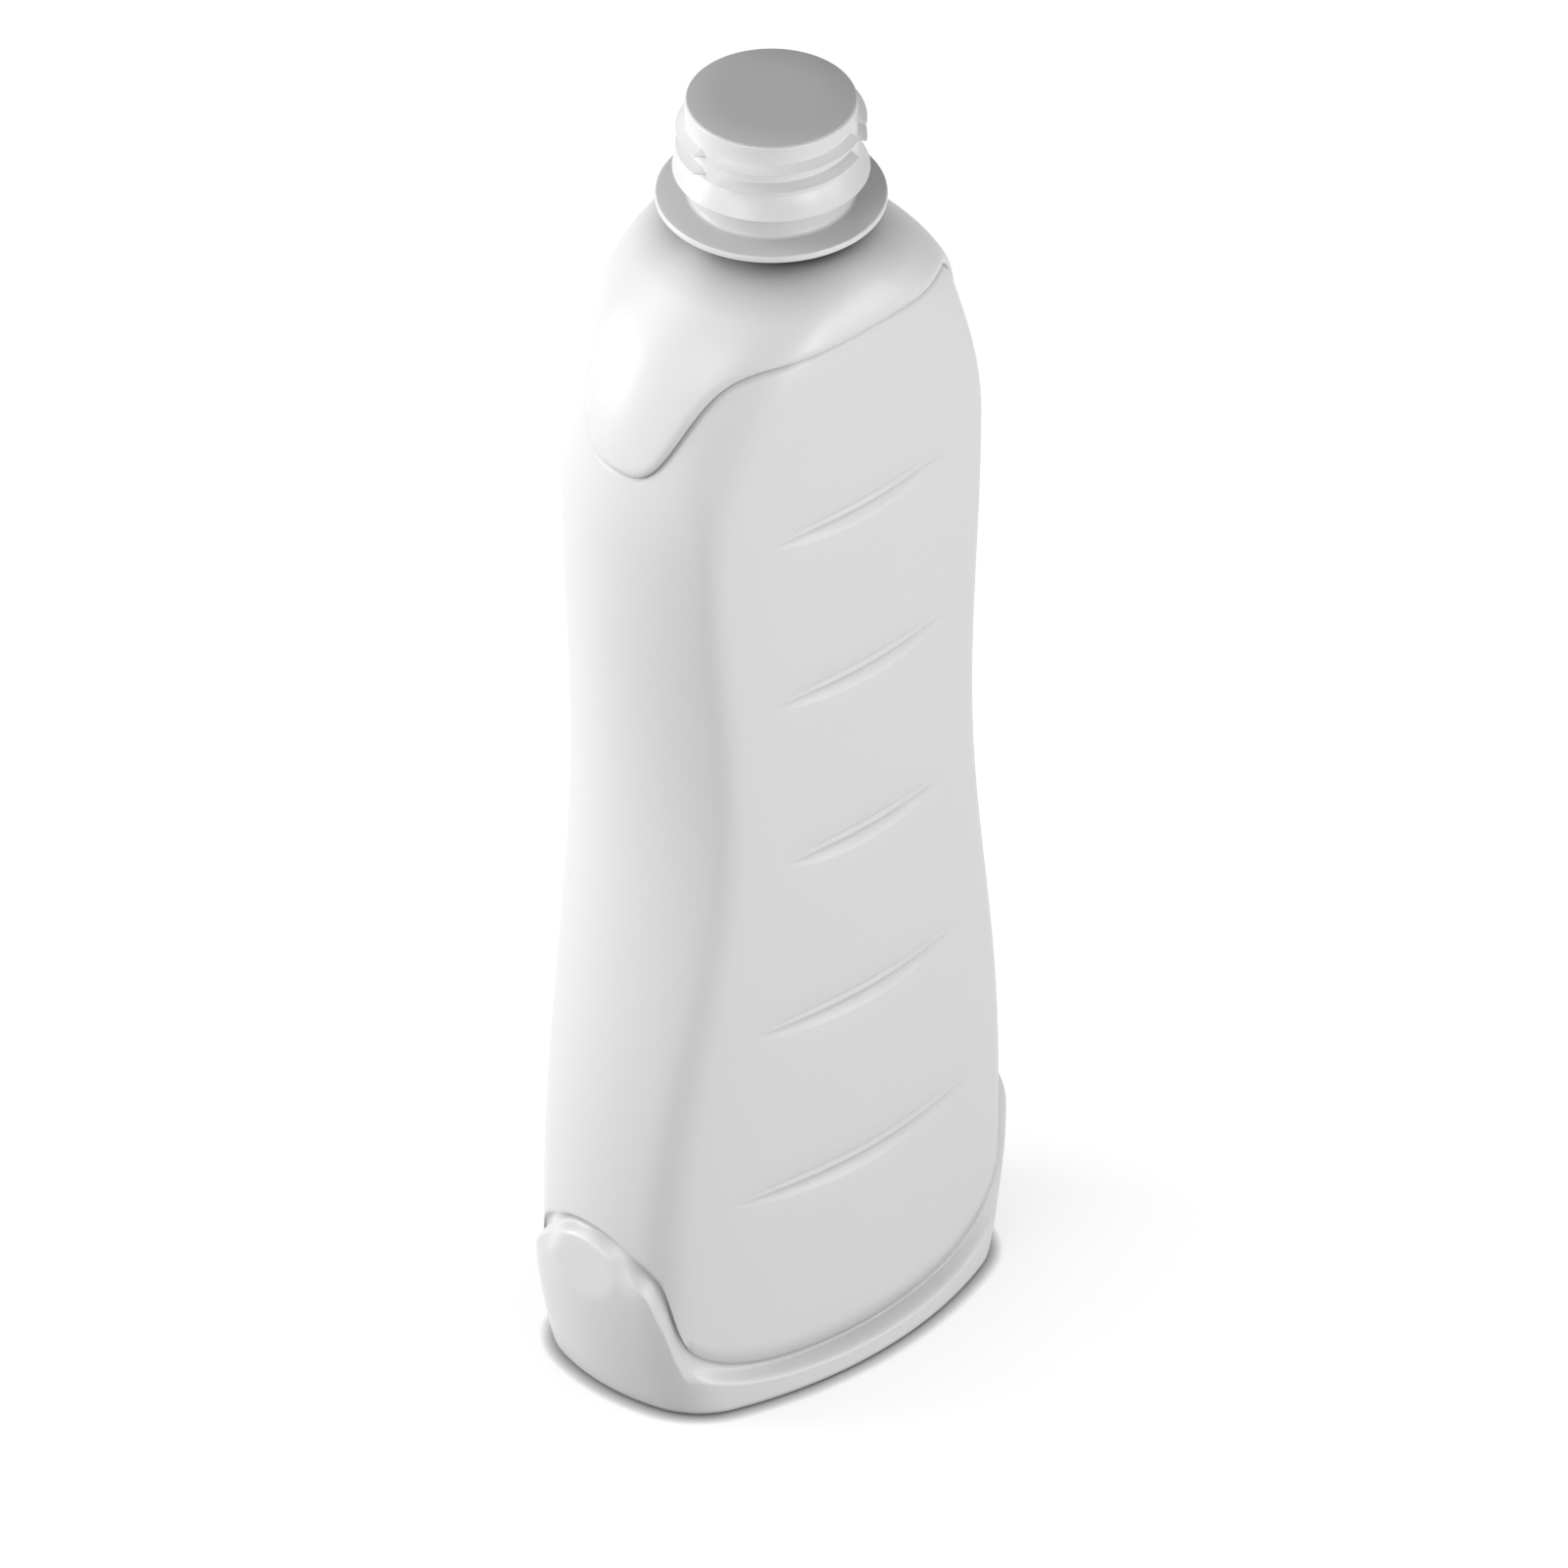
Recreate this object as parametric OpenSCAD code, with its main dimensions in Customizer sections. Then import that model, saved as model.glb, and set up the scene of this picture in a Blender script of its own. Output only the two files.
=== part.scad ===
// Blow-moulded household bottle of nominal one litre, sealed with foil, without its cap.
// The mouth is closed and nothing shows inside, so bottle and contents are one solid.
// Millimetres. X runs across the broad faces, the front looks along -Y, Z is up.
// The origin is on the axis of the neck, in the plane that the bottle stands on.

/* [Body] */
// Full width at the hips, just above the foot
hip_w = 102.2; // [98:0.2:106]
// Full width at the waist
waist_w = 82.4; // [78:0.2:90]
// Full width at the chest, under the shoulder
chest_w = 88.4; // [84:0.2:94]
// Depth from the front panel to the back panel
body_d = 55.8; // [52:0.2:60]
// Height of the hips, where the sides start to draw in
hip_z = 38.5; // [30:0.5:45]
// Height of the waist
waist_z = 140; // [120:1:160]
// Height of the chest, where the shoulder starts to draw in
chest_z = 203; // [198:0.5:208]
// Radius across each broad panel
panel_r = 113; // [90:1:160]
// Radius across each narrow side
side_r = 38; // [36:0.5:46]
// Radius of the upright corners at the hips
hip_corner_r = 13; // [10:0.5:14]
// Radius of the upright corners at the waist
waist_corner_r = 9; // [7:0.5:12]
// Radius of the corners where they spread into the shoulder
shoulder_corner_r = 22; // [16:0.5:24]

/* [Shoulder] */
// Height where the shoulder meets the neck
shoulder_z = 262.5; // [260:0.5:266]
// Height where the broad panels start to roll over into the shoulder
roll_z = 231; // [226:0.5:240]
// How far the shoulder cape stands proud of the body
cape_h = 1.1; // [0.6:0.1:1.6]
// Height of the lower edge of the cape on the broad panels
cape_z = 245.5; // [242:0.5:250]
// How far the cape hangs down on each narrow side
cape_drop = 26.8; // [18:0.2:30]
// Half angle of the cape's side lobe, seen from the neck axis
cape_lobe = 20.2; // [15:0.2:25]
// Width of the cape's rounded edge
cape_edge = 2.4; // [1.5:0.1:3]
// Depth of the fine valley under the cape's edge
cape_valley = 0.3; // [0.1:0.05:0.5]

/* [Foot] */
// Full width of the foot at its fullest, before its side flats
foot_w = 106; // [104.6:0.2:108]
// Full width of the foot where it meets the ground
foot_base_w = 92.4; // [88:0.2:98]
// Depth of the foot
foot_d = 60.6; // [59:0.2:64]
// How deep each side flat cuts into the foot
flat_cut = 0.8; // [0.3:0.1:1.2]
// Height of the middle of each side flat
flat_z = 34.6; // [32:0.2:36]
// Height of the foot's upper edge on the broad panels
foot_z = 8; // [6:0.5:12]
// Height of the foot's upper edge on the narrow sides
foot_lobe_z = 42.3; // [38:0.1:44]
// Half angle of the foot's side lobe, seen from the neck axis
foot_lobe = 21.3; // [18:0.1:24]
// Depth of the valley between the body and the foot
valley_d = 0.85; // [0.4:0.05:1]
// Width of the valley's side under the body
valley_w = 1.3; // [0.8:0.1:1.6]
// Width of the ledge from the valley out to the foot
ledge_w = 2.6; // [1.8:0.1:2.8]
// Radius of the foot's lower edge
ground_r = 1.6; // [1:0.1:2.5]
// Width of the rim that the bottle stands on
rim_w = 4.5; // [3:0.5:7]
// Height of the recess inside the rim
recess_h = 3; // [1.5:0.1:4]

/* [Grip grooves] */
// Height of the top groove's two ends
groove_top_z = 203.8; // [202:0.1:205]
// Distance from one groove to the next
groove_pitch = 38.8; // [37.5:0.1:38.9]
// Depth of a groove at its middle
groove_d = 1; // [0.4:0.1:1.2]
// How far a groove's upper edge rises over its ends
groove_rise = 2.1; // [1:0.1:2.4]
// How far a groove's lower edge hangs under its ends
groove_fall = 3.3; // [2:0.1:3.6]
// Half length of the first groove, the lowest
groove_1 = 32.9; // [28:0.1:34]
// Half length of the second groove
groove_2 = 28.1; // [22:0.1:32]
// Half length of the third groove
groove_3 = 21.5; // [18:0.1:28]
// Half length of the fourth groove
groove_4 = 24; // [20:0.1:28]
// Half length of the fifth groove, the highest
groove_5 = 24.4; // [20:0.1:28]

/* [Neck] */
// Height of the bottle to the sealing lip
neck_top_z = 286.7; // [284:0.1:290]
// Outer radius of the neck under the thread, which is also the lip's
lip_r = 17; // [16.6:0.1:17.4]
// Radius of the flange
flange_r = 22.9; // [21:0.1:25]
// Thickness of the flange
flange_t = 1.5; // [1.2:0.1:2.2]
// Height of the flange's underside
flange_z = 263.2; // [263.2:0.1:265]
// Radius of the waisted neck between the flange and the bead
throat_r = 16.1; // [15.9:0.1:16.6]
// Radius of the bead under the thread
bead_r = 19.5; // [18.8:0.1:20.5]
// Height of the bead's lower edge
bead_z = 270.5; // [270:0.1:271.5]
// Height of the bead's slope up to the neck
bead_h = 4.5; // [3:0.1:5]

/* [Mouth seal] */
// Thickness of the foil disc that seals the mouth
seal_t = 0.3; // [0.2:0.05:0.6]
// How far the foil's edge stays inside the lip's edge
seal_inset = 0.3; // [0.1:0.05:0.8]

/* [Hidden] */

// Columns of the body's skin
columns = 92;
$fn = 96;

// Section where the shoulder meets the neck
shoulder_r = lip_r - 0.8;
// Exponents of the shoulder's two curves, from the side and from the front
shoulder_fall = 0.75;
roll_power = 4;
// The corners reach their shoulder radius this far above the chest
corner_rise = 28;
// A corner is never rounder than this share of the half width or half depth
corner_share = 0.92;

// Width of the slope from the standing rim up into the recess
recess_slope = 2.5;
// Share of each inset that the corner radius of the underside loses
base_corner_keep = 0.3;
// Weld line that the mould's halves leave across the recess
weld_l = 58;
weld_w = 0.9;
weld_h = 0.5;

// Radii of the foot's sides, panels and corners, at the ground and at the top
foot_side_r = 46;
foot_panel_r = [96, 112];
foot_corner_r = [17, 14.6];
// Distance between the two side flats
flat_w = foot_w - 2 * flat_cut;
// How the foot fills out from the ground up to the flats
foot_swell = 1.62;
// Height over which the foot falls back by its bulge above the flats
foot_crown = 7.25;

// Steepness of the cape's lobe and of the foot's lobe
cape_steep = 3.8;
foot_steep = 20;
// The foot's upper edge: fall of its lobe, and the long tail towards the panels
lobe_fall = 8.6;
lobe_fall_at = 19;
tail_h = 10.3;
tail_at = 23.5;
tail_power = 3.2;
// A relief line steeper than this counts as this steep
steep_limit = 2.2;

// Over this width the foot rises out of the body where it is nearly flush
flush_w = 8;
// The angle where the foot is nearly flush, how far that reaches, and how flush it is
flush_at = 10.5;
flush_reach = 3;
flush_most = 0.85;

// Width of the fine valley under the cape
cape_valley_w = 1.4;

// Least distance between the rows beside a groove
row_gap = 0.15;
// How squarely the upper and the lower edge of a groove curve down to its ends
groove_square = 5;
groove_round = 0.55;
groove_lengths = [groove_1, groove_2, groove_3, groove_4, groove_5];
groove_count = len(groove_lengths);
// Rows of a groove from the bottom up: share of its height and share of its depth
groove_rows = [[1, 0], [0.65, 1], [0.2, 0.12], [0.1, 0.32], [0, 0]];

function clamp(v, low, high) = min(max(v, low), high);
function mix(a, b, t) = a + (b - a) * t;
function ease(t) = (1 - cos(180 * clamp(t, 0, 1))) / 2;
function spread(low, high, z) = (z - low) / (high - low);

// Angle from the narrow side's middle, folded into one quarter
function quarter(angle) = atan2(abs(sin(angle)), abs(cos(angle)));

// Polar radius of an oval of three tangent arcs in each quarter
function oval(angle, half_w, half_d, r_side, r_panel, r_corner) =
    let (
        c = abs(cos(angle)),
        s = abs(sin(angle)),
        back_side = r_side - half_w,
        back_panel = r_panel - half_d,
        reach_side = r_side - r_corner,
        reach_panel = r_panel - r_corner,
        gap = norm([back_side, back_panel]),
        along = (reach_side ^ 2 - reach_panel ^ 2 + gap ^ 2) / (2 * gap),
        up = sqrt(max(reach_side ^ 2 - along ^ 2, 0)),
        ux = back_side / gap,
        uy = -back_panel / gap,
        cx = -back_side + along * ux - up * uy,
        cy = along * uy + up * ux,
        turn_side = atan2(cy, cx + back_side),
        turn_panel = atan2(cy + back_panel, cx),
        from_side = atan2(r_side * sin(turn_side), r_side * cos(turn_side) - back_side),
        from_panel = atan2(r_panel * sin(turn_panel) - back_panel, r_panel * cos(turn_panel)),
        at = atan2(s, c)
    )
    at < from_side ? ray(c, s, -back_side, 0, r_side)
    : at > from_panel ? ray(c, s, 0, -back_panel, r_panel)
    : ray(c, s, cx, cy, r_corner);

// Distance from the axis to the far wall of a circle, along a direction
function ray(c, s, px, py, r) =
    let (m = c * px + s * py)
    m + sqrt(max(m ^ 2 - px ^ 2 - py ^ 2 + r ^ 2, 0));

// Half width of the body at a height
function half_width(z) =
    z < waist_z ? mix(hip_w, waist_w, ease(spread(hip_z, waist_z, z))) / 2
    : z < chest_z ? mix(waist_w, chest_w, ease(spread(waist_z, chest_z, z))) / 2
    : let (t = clamp(spread(chest_z, shoulder_z, z), 0, 1))
        mix(shoulder_r, chest_w / 2, (1 - t ^ 2) ^ shoulder_fall);

// Radius of the upright corners at a height
function corner_radius(z) =
    z < waist_z ? mix(hip_corner_r, waist_corner_r, ease(spread(hip_z, waist_z, z)))
    : mix(waist_corner_r, shoulder_corner_r, ease((z - chest_z) / corner_rise));

// Polar radius of the body, grown outwards by a given amount
function body_radius(angle, z, grow) =
    let (
        a = half_width(z),
        b = body_d / 2,
        r = min(corner_radius(z), corner_share * min(a, b)),
        w = clamp(spread(roll_z, shoulder_z, z), 0, 1) ^ roll_power
    )
    mix(oval(angle, a + grow, b + grow, side_r + grow, panel_r + grow, r + grow),
        shoulder_r + grow, w);

// Polar radius of the foot, with its two side flats, shrunk by a given amount
function foot_radius(angle, z, shrink = 0) =
    let (
        low = clamp((flat_z - z) / flat_z, 0, 1),
                swell = low ^ foot_swell,
        crown = flat_cut * (max(z - flat_z, 0) / foot_crown) ^ 2,
        a = mix(foot_w, foot_base_w, swell) / 2 - crown - shrink,
        b = foot_d / 2 - shrink,
        r_panel = mix(foot_panel_r[1], foot_panel_r[0], swell) - shrink,
        r_corner = mix(foot_corner_r[1], foot_corner_r[0], swell) - shrink,
        free = oval(angle, a, b, foot_side_r - shrink, r_panel, r_corner)
    )
    min(free, flat_w / 2 / max(abs(cos(angle)), 0.01));

// Lower edge of the cape: level on the panels, a hanging lobe on each side
function cape_line(angle) =
    cape_z - cape_drop / (1 + (quarter(angle) / cape_lobe) ^ cape_steep);

// Upper edge of the foot: low on the panels, a round-topped lobe on each side
function foot_line(angle) =
    let (
        q = quarter(angle),
        crown = foot_lobe_z - lobe_fall * (q / lobe_fall_at) ^ 2,
        tail = foot_z + tail_h * (tail_at / max(q, tail_at / 2)) ^ tail_power,
        share = 1 / (1 + (q / foot_lobe) ^ foot_steep)
    )
    mix(min(tail, foot_lobe_z), crown, share);

// Factor that turns a distance square to a line into a height above it
function cape_stretch(angle) = stretch(angle, cape_line(angle - 1), cape_line(angle + 1));
function foot_stretch(angle) = stretch(angle, foot_line(angle - 1), foot_line(angle + 1));
function stretch(angle, before, after) =
    let (travel = 2 * body_radius(angle, chest_z, 0) * PI / 180)
    min(sqrt(1 + ((after - before) / travel) ^ 2), steep_limit);

function groove_z(i) = groove_top_z - (groove_count - 1 - i) * groove_pitch;

// Place along a groove: nothing at its middle, one at its ends
function groove_place(angle, i) =
    min(abs(body_radius(angle, groove_z(i), 0) * cos(angle) / groove_lengths[i]), 1);
function groove_share(angle, i) = 1 - groove_place(angle, i) ^ 2;
function groove_high(angle, i) =
    groove_z(i) + row_gap * 2 + groove_rise * (1 - groove_place(angle, i) ^ groove_square);
function groove_low(angle, i) =
    groove_z(i) - row_gap * 2 - groove_fall * groove_share(angle, i) ^ groove_round;

// How nearly flush the foot is with the body at an angle
function flush_share(angle) = flush_most * exp(-((quarter(angle) - flush_at) / flush_reach) ^ 2);

// Skin of the foot under its upper edge: down into the valley, then out over the ledge
function foot_skin(angle, z) =
    let (
        s = max(foot_line(angle) - z, 0) / foot_stretch(angle),
        body = body_radius(angle, z, 0),
        foot = foot_radius(angle, z),
        sunk = body - valley_d * sin(90 * min(s / valley_w, 1)),
        stepped = mix(sunk, foot, ease((s - valley_w) / ledge_w)),
        flush = mix(body, foot, ease(s / flush_w))
    )
    mix(stepped, flush, flush_share(angle));

function point(angle, radius, z) = [radius * cos(angle), radius * sin(angle), z];
function ring(f) = [for (k = [0:columns - 1]) f(360 * k / columns)];

// Underside of the foot: its corners stay round as it shrinks towards the middle
function base_radius(angle, shrink) =
    oval(angle, foot_base_w / 2 - shrink, foot_d / 2 - shrink, foot_side_r - shrink,
        foot_panel_r[0] - shrink, foot_corner_r[0] - base_corner_keep * shrink);

// Base of the foot as inset and height: recess, standing rim and rounded lower edge
base_steps = [[ground_r + rim_w + recess_slope, recess_h], [ground_r + rim_w, 0], [ground_r, 0]];
ground_steps = [[ground_r * (1 - sin(45)), ground_r * (1 - cos(45))], [0, ground_r]];
base_rings = concat(
    [for (s = base_steps) ring(function(a) point(a, base_radius(a, s[0]), s[1]))],
    [for (s = ground_steps) ring(function(a) point(a, foot_radius(a, s[1], s[0]), s[1]))]);

// Side of the foot up to its ledge, then the ledge and the valley, as widths below the edge
foot_steps = [0.3, 0.55, 0.8];
ledge_steps = [valley_w + ledge_w, valley_w + 0.75 * ledge_w, valley_w + 0.5 * ledge_w,
    valley_w + 0.25 * ledge_w, valley_w, 0.45 * valley_w, 0];
function ledge_z(a, width) = foot_line(a) - width * foot_stretch(a);
foot_rings = [for (s = foot_steps)
    ring(function(a) let (z = mix(ground_r, ledge_z(a, ledge_steps[0]), s))
        point(a, foot_skin(a, z), z))];
ledge_rings = [for (width = ledge_steps)
    ring(function(a) let (z = ledge_z(a, width)) point(a, foot_skin(a, z), z))];

// Plain rows between two heights that follow the angle, without the end rows
function between(low, high, count) = [for (s = [1:count])
    ring(function(a) let (z = mix(low(a), high(a), s / (count + 1)))
        point(a, body_radius(a, z, 0), z))];

foot_top = function(a) foot_line(a);
cape_foot = function(a) cape_line(a) - cape_valley_w * cape_stretch(a);
function low_edge(i) = function(a) groove_low(a, i);
function high_edge(i) = function(a) groove_high(a, i);

// Rows of one groove, pressed into the front and the back panel alike
function groove(i) = [for (row = groove_rows)
    ring(function(a) let (z = mix(groove_high(a, i), groove_low(a, i), row[0]))
        point(a, body_radius(a, z, -row[1] * groove_d * groove_share(a, i)), z))];

groove_rings = [for (i = [0:groove_count - 1])
    each concat(groove(i),
        i < groove_count - 1 ? between(high_edge(i), low_edge(i + 1), 2)
        : between(high_edge(i), cape_foot, 2))];

// Fine valley and rounded lower edge of the cape, then the shoulder up to the neck
cape_foot_ring = ring(function(a) point(a, body_radius(a, cape_foot(a), 0), cape_foot(a)));
cape_steps = [0, 0.1, 0.4, 1];
cape_rings = [for (s = cape_steps)
    ring(function(a) let (z = cape_line(a) + s * cape_edge * cape_stretch(a))
        point(a, body_radius(a, z, mix(-cape_valley, cape_h, sqrt(1 - (1 - s) ^ 2))), z))];
shoulder_steps = [0.2, 0.4, 0.6, 0.76, 0.89, 1];
shoulder_rings = [for (s = shoulder_steps)
    ring(function(a) let (z = mix(cape_line(a) + cape_edge * cape_stretch(a), shoulder_z, s))
        point(a, body_radius(a, z, cape_h), z))];

skin_rings = concat(base_rings, foot_rings, ledge_rings, between(foot_top, low_edge(0), 2),
    groove_rings, [cape_foot_ring], cape_rings, shoulder_rings);

rows = len(skin_rings);
top_index = 1 + rows * columns;
function at(row, k) = 1 + row * columns + k % columns;

skin_points = concat([[0, 0, recess_h]], [for (r = skin_rings) each r], [[0, 0, shoulder_z]]);

// Every face turns clockwise when it is seen from outside
skin_faces = concat(
    [for (k = [0:columns - 1]) [0, at(0, k), at(0, k + 1)]],
    [for (row = [0:rows - 2], k = [0:columns - 1]) each [
        [at(row, k), at(row + 1, k), at(row + 1, k + 1)],
        [at(row, k), at(row + 1, k + 1), at(row, k + 1)]]],
    [for (k = [0:columns - 1]) [top_index, at(rows - 1, k + 1), at(rows - 1, k)]]);

// Outline of the neck, from the axis outwards and up to the sealing lip
collar_r = shoulder_r + cape_h - 0.2;
flange_round = 0.4;
lip_round = 0.35;
neck_outline = concat(
    [[0, shoulder_z - 0.6], [collar_r, shoulder_z - 0.6], [collar_r, flange_z]],
    arc([flange_r - flange_round, flange_z + flange_round], flange_round, -90, 0),
    arc([flange_r - flange_round, flange_z + flange_t - flange_round], flange_round, 0, 90),
    arc([throat_r + 1, flange_z + flange_t + 1], 1, 270, 180),
    [[throat_r, bead_z - 0.4], [bead_r - 0.3, bead_z], [bead_r, bead_z + 0.3],
        [lip_r, bead_z + bead_h]],
    arc([lip_r - lip_round, neck_top_z - lip_round], lip_round, 0, 90),
    [[0, neck_top_z]]);

function arc(centre, r, from, to, steps = 4) = [for (i = [0:steps])
    let (t = mix(from, to, i / steps)) centre + r * [cos(t), sin(t)]];

// The blown bottle, from the standing rim to the sealing lip
module bottle() {
    color("white")
        union() {
            polyhedron(points = skin_points, faces = skin_faces, convexity = 8);
            rotate_extrude()
                polygon(neck_outline);
            translate([-weld_l / 2, -weld_w / 2, recess_h - weld_h])
                cube([weld_l, weld_w, 2 * weld_h]);
        }
}

// Foil disc bonded on the lip, which closes the mouth
module mouth_seal() {
    color("darkgray")
        translate([0, 0, neck_top_z])
            cylinder(h = seal_t, r = lip_r - seal_inset);
}

bottle();
mouth_seal();
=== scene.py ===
"""Looks of the rectangular bottle: blown body, screw thread, foil seal and a plain studio."""

from math import cos, pi, radians, sin, sqrt

import bmesh
import bpy
import numpy as np
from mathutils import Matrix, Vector


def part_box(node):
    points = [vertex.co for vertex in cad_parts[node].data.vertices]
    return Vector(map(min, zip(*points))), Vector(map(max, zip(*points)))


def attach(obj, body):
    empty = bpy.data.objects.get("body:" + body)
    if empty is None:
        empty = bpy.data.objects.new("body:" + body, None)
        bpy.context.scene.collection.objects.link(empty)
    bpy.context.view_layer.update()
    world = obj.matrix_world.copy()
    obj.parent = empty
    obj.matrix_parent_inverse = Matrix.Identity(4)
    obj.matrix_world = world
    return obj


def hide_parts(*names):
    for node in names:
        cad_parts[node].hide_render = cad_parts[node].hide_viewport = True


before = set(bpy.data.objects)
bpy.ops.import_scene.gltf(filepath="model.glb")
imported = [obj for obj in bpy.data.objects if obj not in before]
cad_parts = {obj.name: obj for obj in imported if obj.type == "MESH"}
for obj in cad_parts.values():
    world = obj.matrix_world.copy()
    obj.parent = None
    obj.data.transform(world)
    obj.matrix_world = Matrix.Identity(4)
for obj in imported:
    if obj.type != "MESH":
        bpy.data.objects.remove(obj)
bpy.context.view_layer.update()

bl_info = {
    "name": "Rectangular Bottle",
    "version": (1, 0, 0),
    "blender": (4, 5, 0),
    "location": "3D View > Sidebar > Bottle",
    "description": "Builds a blow-moulded household bottle with its thread and foil seal",
    "category": "Add Mesh",
}

# Boxes of the CAD model at rest
SEAL_LOW, SEAL_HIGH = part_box("mouth_seal")
BOTTLE_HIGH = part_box("bottle")[1]

PLASTIC = "Satin Plastic"
FOIL = "Lacquered Foil"
WHITE = (1.0, 1.0, 1.0, 1.0)
BLACK = (0.0, 0.0, 0.0, 1.0)


def mix(a, b, t):
    """Value that lies a share t of the way from a to b, for numbers, arrays and sockets."""
    return a + (b - a) * t


# Settings


def length(name, text, value):
    """A length in metres that a user may change."""
    return bpy.props.FloatProperty(
        name=name, description=text, default=value, min=0.0, precision=5,
        subtype="DISTANCE", unit="LENGTH")


def colour(name, text, value):
    """A colour that a user may change."""
    return bpy.props.FloatVectorProperty(
        name=name, description=text, default=value, size=3, min=0.0, max=1.0, subtype="COLOR")


class BottleBodySettings(bpy.types.PropertyGroup):
    """Main sizes of the blown body."""

    hip_width: length("Hip Width", "Full width at the hips", 0.1022)
    waist_width: length("Waist Width", "Full width at the waist", 0.0824)
    chest_width: length("Chest Width", "Full width at the chest", 0.0884)
    depth: length("Depth", "Depth from the front panel to the back panel", 0.0558)
    hip_height: length("Hip Height", "Height where the sides start to draw in", 0.0385)
    waist_height: length("Waist Height", "Height of the waist", 0.140)
    chest_height: length("Chest Height", "Height where the shoulder starts", 0.203)
    roll_height: length("Roll Height", "Height where the panels roll over", 0.231)
    shoulder_height: length("Shoulder Height", "Height where the shoulder meets the neck", 0.2625)
    panel_radius: length("Panel Radius", "Radius across each broad panel", 0.113)
    side_radius: length("Side Radius", "Radius across each narrow side", 0.038)
    hip_corner: length("Hip Corner", "Corner radius at the hips", 0.013)
    waist_corner: length("Waist Corner", "Corner radius at the waist", 0.009)
    shoulder_corner: length("Shoulder Corner", "Corner radius under the shoulder", 0.022)


class BottleReliefSettings(bpy.types.PropertyGroup):
    """Sizes of the cape, the foot and the grip grooves."""

    cape_height: length("Cape Height", "How far the cape stands proud", 0.0011)
    cape_level: length("Cape Level", "Height of the cape's edge on the panels", 0.2455)
    cape_drop: length("Cape Drop", "How far the cape hangs on the sides", 0.0268)
    cape_edge: length("Cape Edge", "Width of the cape's rounded edge", 0.0024)
    cape_valley: length("Cape Valley", "Depth of the fine valley under the cape", 0.0003)
    foot_width: length("Foot Width", "Width of the foot before its flats", 0.106)
    foot_base_width: length("Foot Base Width", "Width of the foot on the ground", 0.0924)
    foot_depth: length("Foot Depth", "Depth of the foot", 0.0606)
    flat_cut: length("Flat Cut", "How deep each side flat cuts into the foot", 0.0008)
    flat_height: length("Flat Height", "Height of the middle of each flat", 0.0346)
    foot_level: length("Foot Level", "Height of the foot's edge on the panels", 0.008)
    foot_lobe: length("Foot Lobe", "Height of the foot's edge on the sides", 0.0423)
    valley_depth: length("Valley Depth", "Depth of the valley over the foot", 0.00085)
    valley_width: length("Valley Width", "Width of the valley's side under the body", 0.0013)
    ledge_width: length("Ledge Width", "Width of the ledge out to the foot", 0.0026)
    groove_level: length("Groove Level", "Height of the top groove's two ends", 0.2038)
    groove_pitch: length("Groove Pitch", "Distance from one groove to the next", 0.0388)
    groove_depth: length("Groove Depth", "Depth of a groove at its middle", 0.0010)
    groove_rise: length("Groove Rise", "How far a groove rises over its ends", 0.0021)
    groove_fall: length("Groove Fall", "How far a groove hangs under its ends", 0.0033)


class BottleNeckSettings(bpy.types.PropertyGroup):
    """Sizes of the flange, the neck and the screw thread."""

    lip_radius: length("Lip Radius", "Outer radius of the lip and the neck", 0.0170)
    flange_radius: length("Flange Radius", "Outer radius of the flange", 0.0229)
    bead_radius: length("Bead Radius", "Radius of the bead under the thread", 0.0195)
    throat_radius: length("Throat Radius", "Radius between flange and bead", 0.0161)
    thread_radius: length("Thread Radius", "Radius of the thread's crest", 0.01885)
    thread_pitch: length("Thread Pitch", "Rise of the thread in one turn", 0.00423)
    thread_flank: length("Thread Flank", "Height of the thread's sloped flank", 0.00155)


class BottleFinishSettings(bpy.types.PropertyGroup):
    """Colours of the bottle, the foil and the floor."""

    plastic: colour("Plastic", "Colour of the blown plastic", (0.80, 0.80, 0.80))
    foil: colour("Foil", "Colour of the lacquered foil", (0.62, 0.62, 0.62))
    floor: colour("Floor", "Colour of the floor under the lamps", (0.26, 0.26, 0.26))


# Node helpers


class Socket:
    """A value in a node tree, so that maths on it adds Math nodes."""

    def __init__(self, tree, output):
        self.tree = tree
        self.output = output

    def math(self, operation, other=None, swap=False):
        """Adds one Math node of this value and another."""
        node = self.tree.nodes.new("ShaderNodeMath")
        node.operation = operation
        values = [self] if other is None else [self, other]
        if swap:
            values.reverse()
        for slot, value in zip(node.inputs, values):
            if isinstance(value, Socket):
                self.tree.links.new(value.output, slot)
            else:
                slot.default_value = value
        return Socket(self.tree, node.outputs[0])

    def __add__(self, other):
        return self.math("ADD", other)

    def __radd__(self, other):
        return self.math("ADD", other, swap=True)

    def __sub__(self, other):
        return self.math("SUBTRACT", other)

    def __rsub__(self, other):
        return self.math("SUBTRACT", other, swap=True)

    def __mul__(self, other):
        return self.math("MULTIPLY", other)

    def __rmul__(self, other):
        return self.math("MULTIPLY", other, swap=True)

    def __truediv__(self, other):
        return self.math("DIVIDE", other)

    def __pow__(self, other):
        return self.math("POWER", other)

    def less(self, other):
        """One where this value is less than the other, else nothing."""
        return self.math("LESS_THAN", other)

    def above(self, other):
        """One where this value is greater than the other, else nothing."""
        return self.math("GREATER_THAN", other)

    def least(self, other):
        """The lesser of this value and the other."""
        return self.math("MINIMUM", other)

    def most(self, other):
        """The greater of this value and the other."""
        return self.math("MAXIMUM", other)

    def sine(self):
        return self.math("SINE")

    def cosine(self):
        return self.math("COSINE")


def feed(node, values):
    """Gives a node's inputs their values: a socket by a link, anything else as it is."""
    for key, value in values.items():
        if isinstance(value, Socket):
            value.tree.links.new(value.output, node.inputs[key])
        else:
            node.inputs[key].default_value = value


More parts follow.
